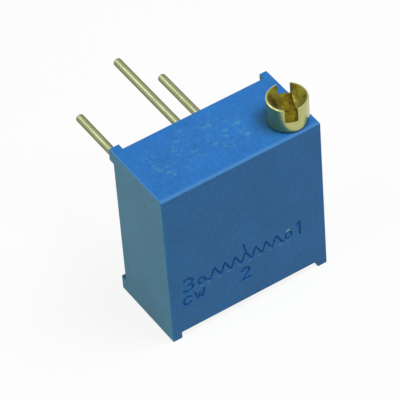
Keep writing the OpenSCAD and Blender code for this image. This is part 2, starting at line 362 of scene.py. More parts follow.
@dataclass(frozen=True)
class BodyPlastic(Moulded):
    """The body's plastic: painted highlights along three edges, with faint pale specks on its top face.

    Attributes:
        left: The left end of the top face.
        front: Its front end.
        top: Its height.
        left_edge_highlight: How far the painted highlight along the left edge is full, and how far it
            reaches.
        front_edge_highlight: The same along the front edge.
        edge_highlight_colour: The colour of both painted highlights.
        edge_highlight_rise: How far under the top face those painted highlights start, and where they are
            full.
        upright_highlight_reach: The reach of the painted highlight along the front left upright edge, as
            above.
        upright_highlight_colour: Its colour.
        speck: The width of a speck.
        speck_colour: The colour of the specks.
        speck_share: How strong they are.
        patch: The width of a patch of specks.
        field_low: The lower ends of the field where they lie, as x and y.
        field_high: Its upper ends.
        field_soft: How softly it ends.
        field_rise: How far under the top face it starts, and where it is full.
    """

    left: float = -7.12
    front: float = -4.83
    top: float = 4.06
    left_edge_highlight: Pair = (0.03, 0.15)
    front_edge_highlight: Pair = (0.13, 0.3)
    edge_highlight_colour: Colour = (0.06, 0.205, 0.54)
    edge_highlight_rise: Pair = (0.06, 0.02)
    upright_highlight_reach: Pair = (0.04, 0.14)
    upright_highlight_colour: Colour = (0.024, 0.18, 0.62)
    speck: float = 0.28
    speck_colour: Colour = (0.12, 0.34, 0.42)
    speck_share: float = 0.42
    patch: float = 0.7
    field_low: Pair = (-6.3, -3.9)
    field_high: Pair = (-0.4, -0.8)
    field_soft: float = 0.5
    field_rise: Pair = (0.03, 0.01)

    def near_top(self, height: Signal, rise: Pair) -> Signal:
        """1 at the height of the top face, 0 a little under it."""
        return height.rise(self.top - rise[0], self.top - rise[1])

    def lines(self, tree: ShaderTree) -> Signal:
        """The painted highlights along the top face's left and front edges.

        Args:
            tree: The material's tree.

        Returns:
            1 in the painted highlights.
        """
        x, y, z = tree.split(tree.place())
        left = (x - self.left).rise(self.left_edge_highlight[1], self.left_edge_highlight[0])
        front = (y - self.front).rise(self.front_edge_highlight[1], self.front_edge_highlight[0])
        return tree.math("MAXIMUM", left, front) * self.near_top(z, self.edge_highlight_rise)

    def upright(self, tree: ShaderTree) -> Signal:
        """The painted highlight along the front left upright edge.

        Args:
            tree: The material's tree.

        Returns:
            1 in the painted highlight.
        """
        x, y, _ = tree.split(tree.place())
        full, reach = self.upright_highlight_reach
        return (x - self.left).rise(reach, full) * (y - self.front).rise(reach, full)

    def specks(self, tree: ShaderTree) -> Signal:
        """The specks on the top face.

        Args:
            tree: The material's tree.

        Returns:
            How much of their colour shows.
        """
        x, y, z = tree.split(tree.place())
        ends = self.near_top(z, self.field_rise)
        for along, low, high in zip((x, y), self.field_low, self.field_high):
            ends = ends * along.rise(low, low + self.field_soft) * along.rise(high, high - self.field_soft)
        spots = tree.noise(tree.place(stretch=(1, 1.2, 1)), self.speck, 2.0, 0.6).rise(0.5, 0.68)
        patches = tree.noise(tree.place(centre=(3, 1, 0)), self.patch, 2.0).rise(0.36, 0.6)
        return spots * patches * ends * self.speck_share

    def colours(self, tree: ShaderTree) -> Signal:
        """The colour over the surface.

        Args:
            tree: The material's tree.

        Returns:
            The colour.
        """
        specked = tree.blend(self.specks(tree), super().colours(tree), self.speck_colour)
        # Painted highlights: lighter lines along the front left upright edge and the top face's left and
        # front edges.
        upright_highlighted = tree.blend(self.upright(tree), specked, self.upright_highlight_colour)
        return tree.blend(self.lines(tree), upright_highlighted, self.edge_highlight_colour)


@dataclass(frozen=True)
class Metal(Finish):
    """A metal with the marks of how it was made.

    Attributes:
        marks: How it was worked.
        tarnish: The colour of its dull patches.
        dull: How strongly those patches show.
        patch: The width of the dull patches.
        pitch: The distance between tool marks.
        depth: The height of those marks.
        axis: A point on the axis of a turned piece.
        rim: The tint of what it reflects where it is seen at a flat angle.
        jitter: How far the marks of turning stray, in radians.
        dull_rough: How much rougher the dull patches are.
        mark_rough: How much rougher the crests of the marks are.
    """

    marks: Marks = Marks.ROLLED
    tarnish: Colour = (0.3, 0.22, 0.1)
    dull: float = 0.25
    patch: float = 0.8
    pitch: float = 0.05
    depth: float = 0.0006
    axis: Triple = (0, 0, 0)
    rim: Colour = (1, 1, 1)
    jitter: float = 2.0
    dull_rough: float = 0.08
    mark_rough: float = 0.04

    def lines(self, tree: ShaderTree) -> Signal:
        """The tool marks.

        Args:
            tree: The material's tree.

        Returns:
            Their height, 0 to 1.
        """
        if self.marks is Marks.TURNED:
            x, y, z = tree.split(tree.place(self.axis))
            radius = (x * x + y * y) ** 0.5
            stray = tree.noise(tree.place(self.axis), 0.3, 2.0) * self.jitter
            return ((radius + z) * (math.tau / self.pitch) + stray).sine() * 0.5 + 0.5
        if self.marks is Marks.DRAWN:
            return tree.noise(tree.place(stretch=(1, 0.04, 1)), self.pitch, 3.0, 0.6)
        if self.marks is Marks.ROLLED:
            return tree.noise(tree.place(stretch=(0.05, 1, 1)), self.pitch, 3.0, 0.6)
        return tree.noise(tree.place(), self.pitch, 2.0)

    def material(self) -> bpy.types.Material:
        """The finish as a material.

        Returns:
            The material.
        """
        tree = self.tree()
        lines = self.lines(tree)
        patches = tree.noise(tree.place(), self.patch, 4.0, 0.65).rise(0.35, 0.7)
        sockets = {
            "Base Color": tree.blend(patches * self.dull, self.colour, self.tarnish),
            "Metallic": 1.0,
            "Specular Tint": self.rim,
            "Roughness": self.roughness + patches * self.dull_rough + lines * self.mark_rough,
            "Normal": tree.relief(lines, self.depth),
        }
        tree.surface(tree.node("ShaderNodeBsdfPrincipled", {}, sockets))
        return bpy.data.materials[self.name]


# Mesh work


class Sculpt:
    """A mesh in the making, in millimetres, so that the operators' small limits don't bite."""

    def __init__(self) -> None:
        """Starts empty."""
        self.bm = bmesh.new()

    @classmethod
    def of_node(cls, node: str) -> "Sculpt":
        """A merged copy of a CAD node.

        Args:
            node: The node's name.

        Returns:
            The copy, with its flat faces whole.
        """
        shape = cls()
        shape.bm.from_mesh(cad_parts[node].data)
        bmesh.ops.scale(shape.bm, vec=(1 / MM,) * 3, verts=shape.bm.verts)
        shape.weld()
        bmesh.ops.dissolve_limit(
            shape.bm,
            angle_limit=math.radians(FLAT),
            use_dissolve_boundaries=False,
            verts=shape.bm.verts,
            edges=shape.bm.edges,
            delimit={"NORMAL"},
        )
        return shape

    def weld(self) -> None:
        """Merges the vertices that lie together."""
        bmesh.ops.remove_doubles(self.bm, verts=self.bm.verts, dist=WELD)

    def outwards(self) -> None:
        """Points all faces out of the solid."""
        bmesh.ops.recalc_face_normals(self.bm, faces=self.bm.faces)

    def spin(
        self, outline: Outline, centre: Vector, along: Vector, steps: int = 64, ring: bool = False
    ) -> None:
        """Turns an outline into a round piece.

        Args:
            outline: Points of radius and height.
            centre: The point on the axis at height 0.
            along: The axis, Y or Z.
            steps: The facets round the axis.
            ring: True if the outline is closed and stands clear of the axis.
        """
        verts = [self.bm.verts.new(centre + Vector((r, 0, 0)) + along * h) for r, h in outline]
        pairs = list(zip(verts, verts[1:])) + ([(verts[-1], verts[0])] if ring else [])
        edges = [self.bm.edges.new(pair) for pair in pairs]
        bmesh.ops.spin(
            self.bm,
            geom=verts + edges,
            cent=centre,
            axis=along,
            angle=math.tau,
            steps=steps,
            use_merge=True,
            use_duplicate=False,
        )
        self.weld()
        self.outwards()

    def helix(self, profile: Outline, centre: Vector, pitch: float, turns: int, steps: int = 32) -> None:
        """Winds a closed profile up the Z axis as a screw thread.

        Args:
            profile: Points of radius and height.
            centre: The point on the axis at height 0.
            pitch: The rise of one turn.
            turns: The number of turns.
            steps: The facets of one turn.
        """
        verts = [self.bm.verts.new(centre + Vector((r, 0, h))) for r, h in profile]
        edges = [self.bm.edges.new((a, b)) for a, b in zip(verts, verts[1:] + verts[:1])]
        first = self.bm.faces.new(verts)
        swept = bmesh.ops.spin(
            self.bm,
            geom=verts + edges,
            cent=centre,
            axis=(0, 0, 1),
            dvec=(0, 0, pitch / steps),
            angle=math.tau * turns,
            steps=steps * turns,
            use_merge=False,
            use_duplicate=False,
        )
        last = [e for e in swept["geom_last"] if isinstance(e, bmesh.types.BMEdge)]
        bmesh.ops.contextual_create(self.bm, geom=last)
        first.normal_update()
        self.outwards()

    def paint(self, index: int) -> None:
        """Gives all faces one of the piece's materials."""
        for face in self.bm.faces:
            face.material_index = index

    def soften(self, width: float, angle: float = 30, segments: int = 2) -> None:
        """Rounds every edge that is sharper than an angle.

        Args:
            width: The width of the rounding.
            angle: The least angle between two faces, in degrees.
            segments: The facets across the rounding.
        """
        sharp = [e for e in self.bm.edges if e.is_manifold and e.calc_face_angle(0) > math.radians(angle)]
        bmesh.ops.bevel(
            self.bm,
            geom=sharp,
            offset=width,
            offset_type="OFFSET",
            affect="EDGES",
            segments=segments,
            profile=0.5,
            material=-1,
            clamp_overlap=True,
        )

    def cut(self, tool: "Sculpt", materials: Sequence[bpy.types.Material]) -> None:
        """Takes a tool's shape out of this one. The new faces keep the tool's materials.

        Args:
            tool: What is taken out. It is used up.
            materials: The piece's materials.
        """
        body, cutter = self._bench(materials), tool._bench(materials)
        boolean = body.modifiers.new("cut", "BOOLEAN")
        boolean.operation, boolean.solver, boolean.use_self = "DIFFERENCE", "EXACT", True
        boolean.object = cutter
        self._take(body)
        bpy.data.objects.remove(cutter)

    def _bench(self, materials: Sequence[bpy.types.Material]) -> bpy.types.Object:
        """This mesh as an object for a while.

        Args:
            materials: The piece's materials.

        Returns:
            The object.
        """
        mesh = bpy.data.meshes.new("bench")
        self.bm.to_mesh(mesh)
        for material in materials:
            mesh.materials.append(material)
        obj = bpy.data.objects.new("bench", mesh)
        bpy.context.scene.collection.objects.link(obj)
        return obj

    def _take(self, obj: bpy.types.Object) -> bpy.types.Mesh:
        """Takes back an object's mesh with its modifiers applied.

        Args:
            obj: The object. It is used up.

        Returns:
            The mesh.
        """
        bpy.context.view_layer.update()
        mesh = bpy.data.meshes.new_from_object(obj.evaluated_get(bpy.context.evaluated_depsgraph_get()))
        self.bm.clear()
        self.bm.from_mesh(mesh)
        bpy.data.objects.remove(obj)
        return mesh

    def piece(
        self,
        name: str,
        body: str,
        finish: Finish,
        nodes: Iterable[str],
        materials: Sequence[bpy.types.Material],
        smooth: float = 40,
    ) -> bpy.types.Object:
        """Makes the finished object.

        Args:
            name: Its name.
            body: The CAD body that it rides on.
            finish: Its main finish. Not used.
            nodes: The CAD nodes that it replaces.
            materials: Its materials, the main one first.
            smooth: The angle above which an edge stays sharp, in degrees.

        Returns:
            The object, at the origin, with its place in its mesh.
        """
        for face in self.bm.faces:
            face.smooth = True
        for edge in self.bm.edges:
            edge.smooth = edge.calc_face_angle(0) < math.radians(smooth)
        bench = self._bench(materials)
        normals = bench.modifiers.new("normals", "WEIGHTED_NORMAL")
        normals.keep_sharp, normals.weight = True, 60
        mesh = self._take(bench)
        mesh.transform(Matrix.Scale(MM, 4))
        mesh.name = name
        obj = bpy.data.objects.new(name, mesh)
        bpy.context.scene.collection.objects.link(obj)
        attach(obj, body)
        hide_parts(*nodes)
        self.bm.free()
        log.info("%s: %d faces, rides on %s", name, len(mesh.polygons), body)
        return obj


def dress_copy(
    node: str, name: str, body: str, finish: Finish, edge: float, materials: Sequence[bpy.types.Material] = ()
) -> None:
    """Makes a piece from a CAD node, with its sharp edges softened.

    Args:
        node: The node.
        name: The new piece's name.
        body: The body that it rides on.
        finish: Its finish.
        edge: The width of the rounding.
        materials: Its material, where another piece has made it already.
    """
    shape = Sculpt.of_node(node)
    shape.soften(edge)
    shape.piece(name, body, finish, [node], list(materials) or [finish.material()])


# Marks on the front face


class Skin(IntEnum):
    """The body's materials, in their order on the piece."""

    PLAIN = 0
    GROOVE = 1
    # The dimples' materials are lighter blues: a painted highlight on top of the light that their slopes
    # catch.
    LIP_HIGHLIGHT = 2
    PIP_HIGHLIGHT = 3


@dataclass
class FrontMarks:
    """The moulded marks: terminal numbers, the resistor's sign and the letters for clockwise.

    Attributes:
        corner: The lower left corner of the face, as x and z. All places start there.
        face_y: The face.
        stroke: The width of a stroke of the numbers and letters.
        fine: The width of a stroke of the resistor's sign.
        depth: The depth of a stroke.
        proud: How much further a stroke's round ends reach than its bars, so that no faces coincide.
        sides: The facets round a stroke's end.
        digit: The width and height of a number.
        small: The size of the middle pin's number, against the others.
        flag: How far the flag of the right pin's number reaches.
        letter: The width and height of a letter.
        three_at: The middle of the left pin's number.
        one_at: The middle of the right pin's number.
        two_at: The middle of the middle pin's number.
        letters_at: The middle of the first letter.
        first: The zigzag's first lower corner.
        pitch: The distance between its lower corners.
        waves: How many there are.
        rise: How high its upper corners stand over them.
        peak: Where an upper corner stands between two lower ones, as a share of the pitch.
        rings: The middles of the rings at its ends.
        ring: Their radius.
        wiper: The ends of the wiper's stroke.
        dimple: Half the height of a dimple under the sign.
        stretch: How much longer than high it is.
        shift: How far it lies from the lower corner, across and up.
        under: How far it lies under a ring.
        pip: The place of the round dimple over the right ring.
        pip_r: Its radius.
        flare: How far a dimple's cone widens and narrows from its radius at the face, as a share.
    """

    corner: Pair = (-7.12, -5.97)
    face_y: float = -4.83
    stroke: float = 0.14
    fine: float = 0.11
    depth: float = 0.06
    proud: float = 1.02
    sides: int = 14
    digit: Pair = (0.58, 0.88)
    small: float = 0.88
    flag: float = 0.18
    letter: Pair = (0.55, 0.5)
    three_at: Pair = (1.14, 3.56)
    one_at: Pair = (7.96, 3.53)
    two_at: Pair = (4.56, 2.3)
    letters_at: Pair = (1.06, 2.48)
    first: Pair = (2.47, 3.15)
    pitch: float = 0.63
    waves: int = 8
    rise: float = 0.66
    peak: float = 0.43
    rings: tuple[Pair, Pair] = ((1.94, 3.42), (7.26, 3.42))
    ring: float = 0.2
    wiper: Stroke = ((4.55, 4.36), (4.7, 3.62))
    dimple: float = 0.065
    stretch: float = 1.9
    shift: Pair = (-0.12, -0.1)
    under: float = 0.17
    pip: Pair = (7.25, 3.76)
    pip_r: float = 0.12
    flare: float = 0.8

    @staticmethod
    def arc(x: float, z: float, rx: float, rz: float, start: float, end: float, steps: int) -> Stroke:
        """Points along part of an ellipse.

        Args:
            x: The middle, across.
            z: The middle, up.
            rx: The radius across.
            rz: The radius up.
            start: The first angle, in degrees.
            end: The last angle.
            steps: The number of segments.

        Returns:
            The points.
        """
        angles = [math.radians(start + (end - start) * i / steps) for i in range(steps + 1)]
        return [(x + rx * math.cos(a), z + rz * math.sin(a)) for a in angles]

    def three(self) -> list[Stroke]:
        """The number of the left pin.

        Returns:
            Its strokes.
        """
        (x, z), (w, h) = self.three_at, self.digit
        upper = self.arc(x, z + h * 0.25, w * 0.46, h * 0.25, 155, -90, 8)
        return [upper, self.arc(x, z - h * 0.25, w * 0.5, h * 0.25, 90, -155, 8)]

    def one(self) -> list[Stroke]:
        """The number of the right pin."""
        (x, z), h = self.one_at, self.digit[1]
        return [[(x - self.flag, z + h * 0.38), (x, z + h / 2), (x, z - h / 2)]]

    def two(self) -> list[Stroke]:
        """The number of the middle pin.

        Returns:
            Its stroke.
        """
        x, z = self.two_at
        w, h = (size * self.small for size in self.digit)
        bow = self.arc(x, z + h * 0.24, w * 0.45, h * 0.26, 165, -30, 6)
        return [[*bow, (x - w / 2, z - h / 2), (x + w / 2, z - h / 2)]]

    def clockwise(self) -> list[Stroke]:
        """The letters for clockwise.

        Returns:
            Their strokes.
        """
        (x, z), (w, h) = self.letters_at, self.letter
        gap = w * 1.3
        top, foot = z + h * 0.55, z - h * 0.4
        places = ((-0.5, top), (-0.22, foot), (0.02, z + h * 0.25), (0.24, foot), (0.5, top))
        return [self.arc(x, z, w / 2, h / 2, 50, 310, 8), [(x + gap + w * a, b) for a, b in places]]

    def resistor(self) -> list[Stroke]:
        """The zigzag between its two rings, and the stroke of the wiper.

        Returns:
            Their strokes.
        """
        left, right = self.rings
        zigzag: list[Pair] = [(left[0] + self.ring, left[1])]
        for x, z in self.valleys():
            zigzag += [(x, z), (x + self.pitch * self.peak, z + self.rise)]
        zigzag[-1] = (right[0] - self.ring * 0.7, right[1] - self.ring * 0.7)
        circles = [self.arc(x, z, self.ring, self.ring, 20, 380, 10) for x, z in self.rings]
        return [zigzag, *circles, self.wiper]

    def valleys(self) -> list[Pair]:
        """The lower corners of the zigzag."""
        return [(self.first[0] + self.pitch * i, self.first[1]) for i in range(self.waves)]

    def dimples(self) -> list[Pair]:
        """The long dimples under the zigzag's lower corners and under its rings."""
        under_rings = [(x, z - self.ring - self.under) for x, z in self.rings]
        return [(x + self.shift[0], z + self.shift[1]) for x, z in self.valleys()] + under_rings

    def tool(self) -> Sculpt:
        """All marks as round-ended bars and cones that reach into the face.

        Returns:
            The tool, with its faces in the body's materials.
        """
        shape = Sculpt()
        for stroke in (*self.three(), *self.one(), *self.two(), *self.clockwise()):
            self.groove(shape, stroke, self.stroke)
        for stroke in self.resistor():
            self.groove(shape, stroke, self.fine)
        shape.paint(Skin.GROOVE)
        # The dimples take the lighter blues, a painted highlight.
        for place in self.dimples():
            self.hollow(shape, place, self.dimple, self.stretch, Skin.LIP_HIGHLIGHT)
        self.hollow(shape, self.pip, self.pip_r, 1.0, Skin.PIP_HIGHLIGHT)
        return shape

    def groove(self, shape: Sculpt, stroke: Stroke, width: float) -> None:
        """Adds a stroke to the tool.

        Args:
            shape: The tool.
            stroke: The stroke's points.
            width: Its width.
        """
        upright = Matrix.Rotation(math.pi / 2, 4, "X")
        points = [Vector((self.corner[0] + x, self.face_y, self.corner[1] + z)) for x, z in stroke]
        for point in points:
            bmesh.ops.create_cone(
                shape.bm,
                cap_ends=True,
                segments=self.sides,
                radius1=width / 2,
                radius2=width / 2,
                depth=self.depth * 2 * self.proud,
                matrix=Matrix.Translation(point) @ upright,
            )
        for start, end in zip(points, points[1:]):
            way = end - start
            turn = Matrix.Rotation(-math.atan2(way.z, way.x), 4, "Y")
            size = Matrix.Diagonal((way.length, self.depth * 2, width, 1))
            place = Matrix.Translation((start + end) / 2)
            bmesh.ops.create_cube(shape.bm, size=1, matrix=place @ turn @ size)

    def hollow(self, shape: Sculpt, place: Pair, radius: float, stretch: float, skin: Skin) -> None:
        """Adds a dimple to the tool.

        Args:
            shape: The tool.
            place: The dimple's middle.
            radius: Half its height.
            stretch: How much longer than high it is.
            skin: Which of the body's materials it shows.
        """
        point = Vector((self.corner[0] + place[0], self.face_y, self.corner[1] + place[1]))
        upright = Matrix.Rotation(math.pi / 2, 4, "X")
        cone = bmesh.ops.create_cone(
            shape.bm,
            cap_ends=True,
            segments=self.sides,
            radius1=radius * (1 - self.flare),
            radius2=radius * (1 + self.flare),
            depth=radius * 2 * self.flare,
            matrix=Matrix.Translation(point) @ Matrix.Diagonal((stretch, 1, 1, 1)) @ upright,
        )
        for face in {face for vert in cone["verts"] for face in vert.link_faces}:
            face.material_index = skin


# Sub-assemblies


@dataclass
class Housing:
    """The moulded body.

    Attributes:
        plastic: The body's finish, with painted highlights along its edges.
        groove: The finish in the marks, duller than the face.
        lip_highlight: The finish of the dimples under the resistor's sign, which catch the light and are
            painted lighter besides, as a painted highlight.
        pip_highlight: The finish of the round dimple over its right ring, painted paler still as a painted
            highlight.
        marks: The marks on its front face.
        edge: The width of the rounding of its sharp edges.
        smooth: The angle above which an edge stays sharp.
    """

    plastic: Finish = BodyPlastic(
        "blue_moulding", "blue_plastic", (0.018, 0.153, 0.493), 0.4, mottle=0.08, gloss=0.25
    )
    groove: Finish = Moulded("blue_in_the_marks", "blue_plastic", (0.02, 0.165, 0.56), 0.6, gloss=0.15)
    # Lighter blues in the dimples: a painted highlight.
    lip_highlight: Finish = Moulded("dimples_painted_highlight", "blue_plastic", (0.07, 0.26, 0.66), 0.4)
    pip_highlight: Finish = Moulded("pip_painted_highlight", "blue_plastic", (0.3, 0.52, 0.85), 0.35)
    marks: FrontMarks = field(default_factory=FrontMarks)
    edge: float = 0.08
    smooth: float = 50

    def build(self) -> None:
        """Makes the body with its marks."""
        finishes = (self.plastic, self.groove, self.lip_highlight, self.pip_highlight)
        materials = [finish.material() for finish in finishes]
        shape = Sculpt.of_node("housing")
        shape.soften(self.edge, segments=3)
        shape.cut(self.marks.tool(), materials)
        shape.piece("moulded_body", "housing", self.plastic, ["housing"], materials, self.smooth)


@dataclass
class Potting:
    """The cast resin behind the element plate, which climbs a little at the walls and pins.

    Attributes:
        resin: Its finish.
        step: The spacing of the mesh.
        climb: How far it climbs.
        reach: How far from a wall the climb starts.
        shoulder_r: The radius of the pins' shoulders.
        smooth: The angle above which an edge stays sharp.
    """

    resin: Finish = Moulded(
        "blue_resin", "potting", (0.006, 0.1, 0.37), 0.3, cloud=0.16, grain=0.5, depth=0.012, swing=0.08
    )
    step: float = 0.16
    climb: float = 0.045
    reach: float = 0.26
    shoulder_r: float = 0.41
    smooth: float = 50

    def divide(self, shape: Sculpt, low: Vector, high: Vector) -> None:
        """Cuts the resin's faces across into narrow strips both ways.

        Args:
            shape: The resin.
            low: The lower corner of its box.
            high: Its upper corner.
        """
        for axis in (0, 2):
            count = int((high[axis] - low[axis]) / self.step)
            normal = Vector((axis == 0, 0, axis == 2))
            for i in range(1, count):
                place = low.copy()
                place[axis] += (high[axis] - low[axis]) * i / count
                geometry = [*shape.bm.verts, *shape.bm.edges, *shape.bm.faces]
                bmesh.ops.bisect_plane(shape.bm, geom=geometry, dist=WELD, plane_co=place, plane_no=normal)

    def build(self, pins: Sequence[Pair]) -> None:
        """Makes the resin.

        Args:
            pins: The pins' places, as x and z.
        """
        shape = Sculpt.of_node("potting_seal")
        low, high = (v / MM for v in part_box("potting_seal"))
        self.divide(shape, low, high)
        for vert in shape.bm.verts:
            x, y, z = vert.co
            if y < high.y - WELD:
                continue
            gaps = [x - low.x, high.x - x, z - low.z, high.z - z]
            gaps += [math.hypot(x - px, z - pz) - self.shoulder_r for px, pz in pins]
            near = max(0.0, 1 - max(0.0, min(gaps)) / self.reach)
            vert.co.y = high.y - self.climb + self.climb * near**2
        materials = [self.resin.material()]
        shape.piece("cast_resin", "housing", self.resin, ["potting_seal"], materials, self.smooth)


class Brass(IntEnum):
    """The screw's materials, in their order on the piece."""

    PLAIN = 0
    # DISH and SLOT carry darker brass, a painted shade.
    DISH = 1
    SLOT = 2


@dataclass
class Adjuster:
    """The brass screw, its seal and its retainer.

    Attributes:
        axis: The screw's axis, as x and y.
        head_r: The radius of the head.
        rim: The rounding of its rim.
        foot: The height of the head's underside.
        heel: The rounding of its lower edge.
        top: The height of its rim.
        dish: Points of radius and depth down the dish in its top.
        dish_lip: How far under the rim the dish's own material starts.
        neck_r: The radius of the necks.
        journal_r: The radius of the journal between them.
        journal_low: Where it starts.
        journal_high: Where it ends.
        soft: The width of its chamfers.
        thread_r: The radius of the thread's crests.
        core_r: The radius of its roots.
        thread_low: Where the thread starts.
        thread_high: Where the plain band over it ends.
        band: The height of that band.
        band_edge: The width of the chamfer on its upper edge.
        flank: The height of its lower flank.
        pitch: The rise of one turn.
        crest: How far the crest is rounded down.
        sunk: How far the thread's foot lies under its root.
        pilot_r: The radius of the pilot under the thread.
        pilot_low: Its lower end.
        pilot_edge: The width of its chamfer.
        slot_w: The width of the slot.
        slot_depth: Its depth.
        slot_angle: Its direction, in degrees from X.
        edge: The rounding of the head's sharp edges.
        seal_sides: The facets round the seal's section.
        clip_edge: The rounding of the retainer's edges.
        brass: The screw's finish.
        dish_shade_brass: The finish in its dish: darker brass, a painted shade of the recess, with dull
            patches.
        slot_shade_brass: The finish in its slot: darker, browner brass, a painted shade, with dull patches.
        rubber: The seal's finish.
        steel: The retainer's finish.
    """

    axis: Pair = (1.3, -3.59)
    head_r: float = 1.095
    rim: float = 0.07
    foot: float = 4.11
    heel: float = 0.06
    top: float = 5.58
    dish: Outline = ((1.0, 0.0), (0.675, 0.42), (0.12, 0.73), (0.0, 0.8))
    dish_lip: float = 0.015
    neck_r: float = 0.43
    journal_r: float = 0.67
    journal_low: float = 2.53
    journal_high: float = 3.49
    soft: float = 0.03
    thread_r: float = 0.75
    core_r: float = 0.62
    thread_low: float = -4.61
    thread_high: float = 2.27
    band: float = 0.14
    band_edge: float = 0.04
    flank: float = 0.02
    pitch: float = 0.22
    crest: float = 0.01
    sunk: float = 0.03
    pilot_r: float = 0.4
    pilot_low: float = -5.07
    pilot_edge: float = 0.06
    slot_w: float = 0.68
    slot_depth: float = 0.76
    slot_angle: float = 67
    edge: float = 0.022
    seal_sides: int = 24
    clip_edge: float = 0.02
    brass: Finish = Metal(
        "turned_brass", "brass", (0.47, 0.48, 0.2), 0.2, Marks.TURNED, (0.33, 0.3, 0.09), axis=(1.3, -3.59, 0)
    )
    # The dish and slot finishes are darker brass: painted shade in the recess.
    dish_shade_brass: Finish = Metal(
        "brass_painted_dish_shade",
        "brass",
        (0.26, 0.25, 0.035),
        0.36,
        Marks.TURNED,
        (0.095, 0.053, 0.006),
        dull=0.9,
        patch=0.55,
        axis=(1.3, -3.59, 0),
    )
    slot_shade_brass: Finish = Metal(
        "brass_painted_slot_shade",
        "brass",
        (0.24, 0.2, 0.012),
        0.38,
        Marks.ROLLED,
        (0.085, 0.042, 0.002),
        dull=0.9,
        patch=0.4,
    )
    rubber: Finish = Moulded("red_rubber", "seal_rubber", (0.3, 0.05, 0.04), 0.7, gloss=0.3)
    steel: Finish = Metal(
        "spring_sheet", "spring_steel", (0.6, 0.6, 0.6), 0.28, Marks.ROLLED, (0.4, 0.38, 0.35)
    )

    def shank(self) -> Outline:
        """The screw's outline below the head, from the pilot up.

        Returns:
            Points of radius and height.
        """
        band, low, high = self.thread_high - self.band, self.journal_low, self.journal_high
        return (
            (0, self.pilot_low),
            (self.pilot_r - self.pilot_edge, self.pilot_low),
            (self.pilot_r, self.pilot_low + self.pilot_edge),
            (self.pilot_r, self.thread_low),
            (self.core_r, self.thread_low),
            (self.core_r, band - self.flank),
            (self.thread_r, band),
            (self.thread_r, self.thread_high - self.band_edge),
            (self.thread_r - self.band_edge, self.thread_high),
            (self.neck_r, self.thread_high),
            (self.neck_r, low),
            (self.journal_r - self.soft, low),
            (self.journal_r, low + self.soft),
            (self.journal_r, high - self.soft),
            (self.journal_r - self.soft, high),
            (self.neck_r, high),
            (self.neck_r, self.foot),
        )

    def head(self) -> Outline:
        """The head's outline, from its underside to the middle of its dish.

        Returns:
            Points of radius and height.
        """
        r, rim, heel = self.head_r, self.rim, self.heel
        turns = [math.radians(a) for a in (0, 22.5, 45, 67.5, 90)]
        return (
            (r - heel, self.foot),
            (r - heel * 0.3, self.foot + heel * 0.3),
            (r, self.foot + heel),
            *((r - rim * (1 - math.cos(a)), self.top - rim * (1 - math.sin(a))) for a in turns),
            (self.dish[0][0], self.top),
            *((x, self.top - d) for x, d in self.dish[1:]),
        )

    def blade(self) -> Sculpt:
        """The slot's shape, as a bar across the head that reaches out of its top.

        Returns:
            The tool that cuts the slot.
        """
        shape = Sculpt()
        turn = Matrix.Rotation(math.radians(self.slot_angle), 4, "Z")
        height = self.slot_depth * 2
        size = Matrix.Diagonal((self.head_r * 3, self.slot_w, height, 1))
        place = Matrix.Translation((*self.axis, self.top - self.slot_depth + height / 2))
        bmesh.ops.create_cube(shape.bm, size=1, matrix=place @ turn @ size)
        shape.paint(Brass.SLOT)
        return shape

    def paint_dish_shade(self, shape: Sculpt, centre: Vector) -> None:
        """Gives the faces in the dish their own material, the darker brass that paints shade in the recess.

        Args:
            shape: The screw.
            centre: The point on its axis at height 0.
        """
        floor = self.top - max(depth for _, depth in self.dish) - WELD
        for face in shape.bm.faces:
            place = face.calc_center_median() - centre
            inside = place.xy.length < self.dish[0][0] and floor < place.z < self.top - self.dish_lip
            if inside and face.material_index == Brass.PLAIN:
                face.material_index = Brass.DISH

    def thread(self, shape: Sculpt, centre: Vector) -> None:
        """Winds the thread on the shank.

        Args:
            shape: The screw.
            centre: The point on its axis at height 0.
        """
        root = self.core_r - self.sunk
        profile = (
            (root, 0.0),
            (self.thread_r - self.crest, self.pitch * 0.4),
            (self.thread_r, self.pitch * 0.5),
            (self.thread_r - self.crest, self.pitch * 0.6),
            (root, self.pitch),
        )
        length = self.thread_high - self.band - self.flank - self.thread_low
        start = centre + Vector((0, 0, self.thread_low))
        shape.helix(profile, start, self.pitch, int(length / self.pitch) - 1)

    def screw(self) -> None:
        """Makes the screw with its slot and thread."""
        centre = Vector((*self.axis, 0))
        materials = [finish.material() for finish in (self.brass, self.dish_shade_brass, self.slot_shade_brass)]
        shape = Sculpt()
        shape.spin((*self.shank(), *self.head()), centre, Vector((0, 0, 1)), 96)
        shape.cut(self.blade(), materials)
        # Darker brass in the dish: painted shade.
        self.paint_dish_shade(shape, centre)
        shape.soften(self.edge, 35)
        self.thread(shape, centre)
        shape.piece("adjusting_screw", "screw", self.brass, ["lead_screw"], materials, 35)

    def seal(self) -> None:
        """Makes the seal."""
        low, high = (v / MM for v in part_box("seal_ring"))
        wire = (high.z - low.z) / 2
        middle = (high.x - low.x) / 2 - wire
        angles = [math.tau * i / self.seal_sides for i in range(self.seal_sides)]
        section = [(middle + wire * math.cos(a), wire * math.sin(a)) for a in angles]
        ring = Sculpt()
        ring.spin(section, (low + high) / 2, Vector((0, 0, 1)), 64, ring=True)
        ring.piece("rubber_seal", "housing", self.rubber, ["seal_ring"], [self.rubber.material()])

    def build(self) -> None:
        """Makes the screw, the seal and the retainer."""
        self.screw()
        self.seal()
        dress_copy("screw_retainer", "retaining_clip", "housing", self.steel, self.clip_edge)


